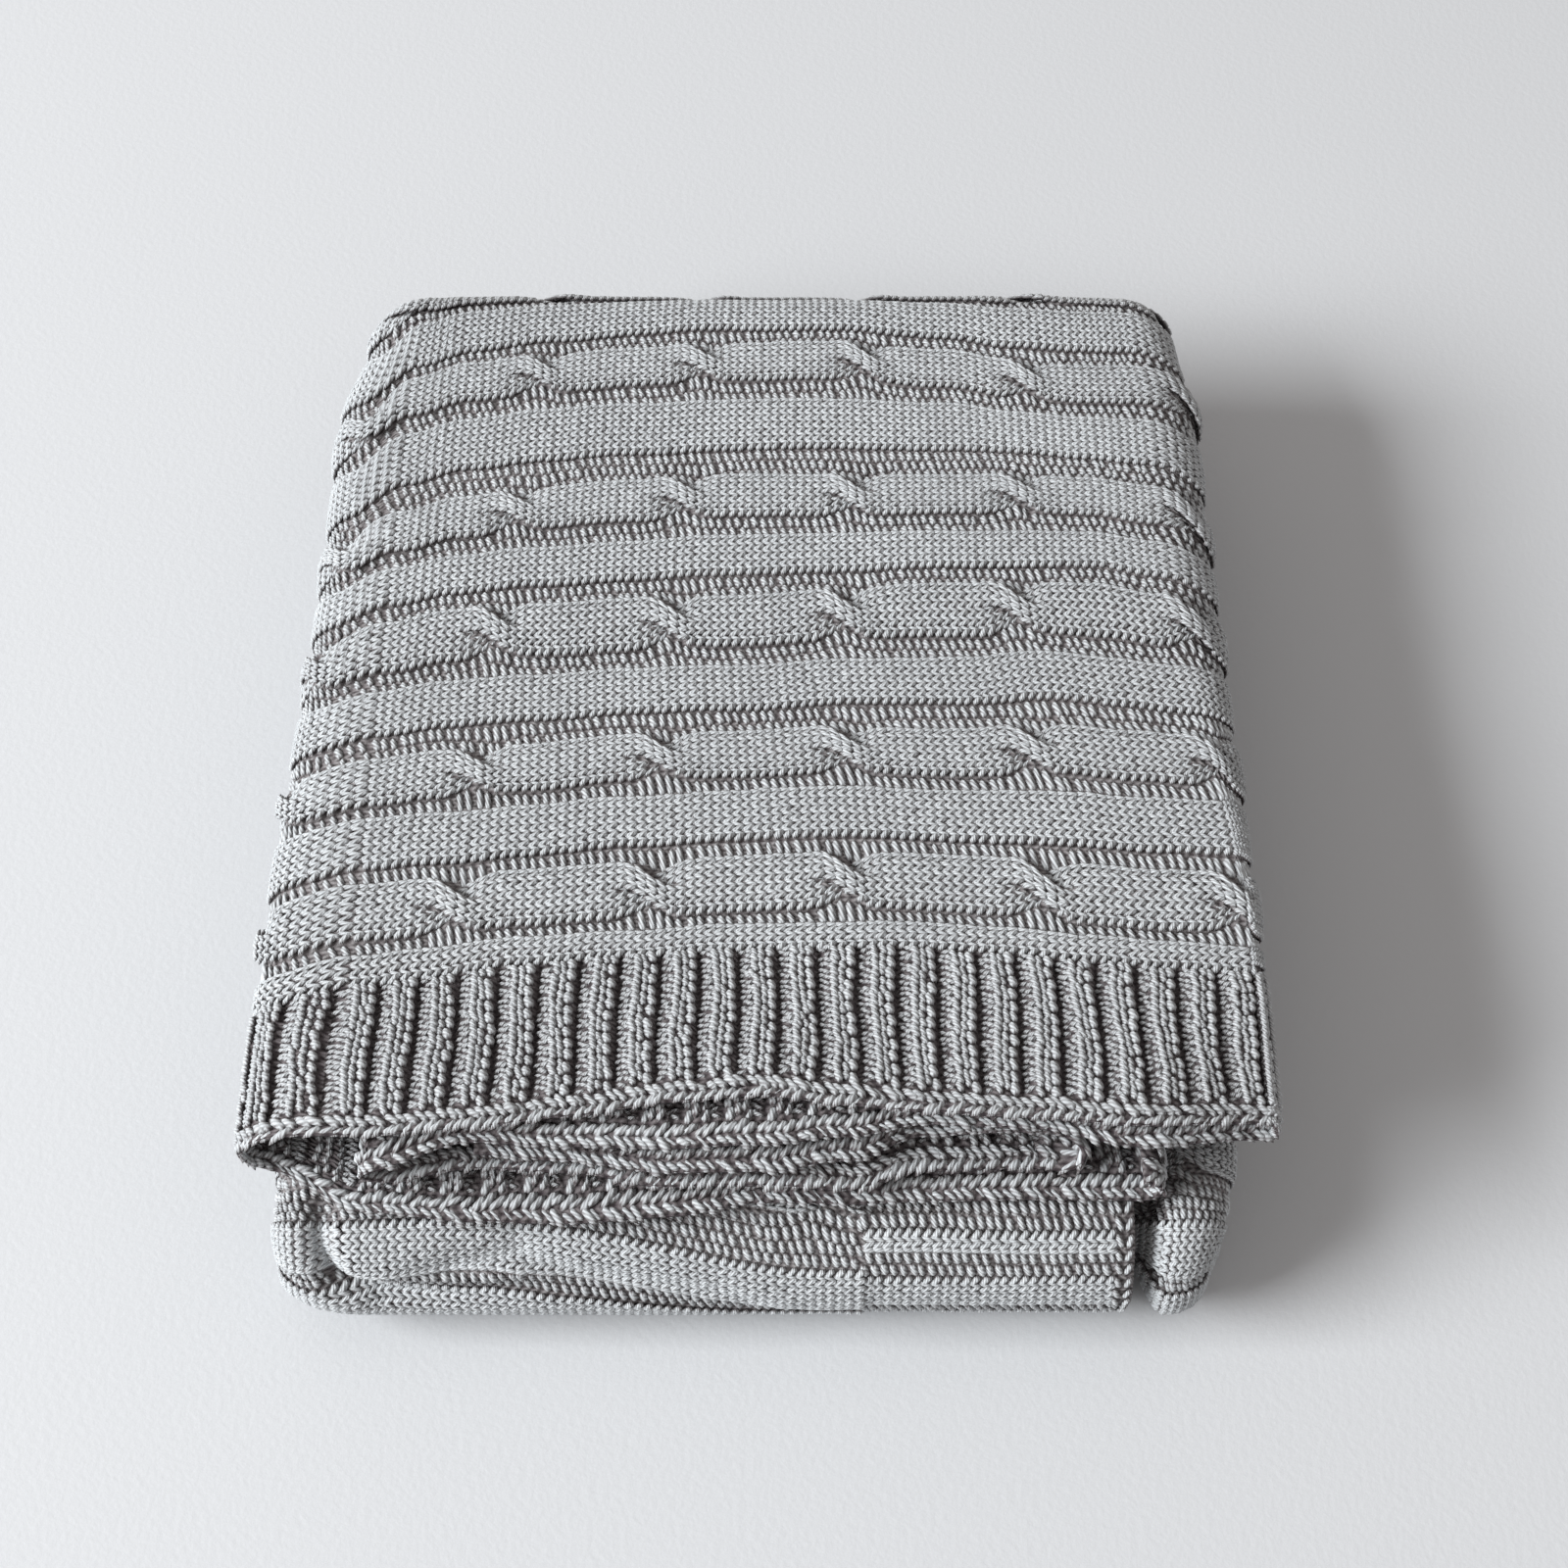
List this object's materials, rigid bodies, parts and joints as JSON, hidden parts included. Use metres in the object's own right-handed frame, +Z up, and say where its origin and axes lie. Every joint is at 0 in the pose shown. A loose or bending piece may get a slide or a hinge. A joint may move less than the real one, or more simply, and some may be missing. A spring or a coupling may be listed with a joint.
{
  "type": "cable knit throw",
  "caption": "Folded knitted throw with cables between plain bands and a ribbed band along each side, lying as a soft bundle.",
  "frame": {"origin": "centre of the bundle's bounding box, on the surface it lies on", "axes": "+Z up, +X to the right along the cables, -Y towards the front where the ribbed hem lies on top"},
  "size_m": [0.395, 0.4826, 0.109],
  "materials": {
    "cable_knit_yarn": "soft matt grey knitted yarn",
    "rib_yarn": "soft matt grey ribbed knit"
  },
  "bodies": {
    "root": {"throw_panel": "cable_knit_yarn", "front_side_band": "rib_yarn", "rear_side_band": "rib_yarn"}
  },
  "joints": []
}
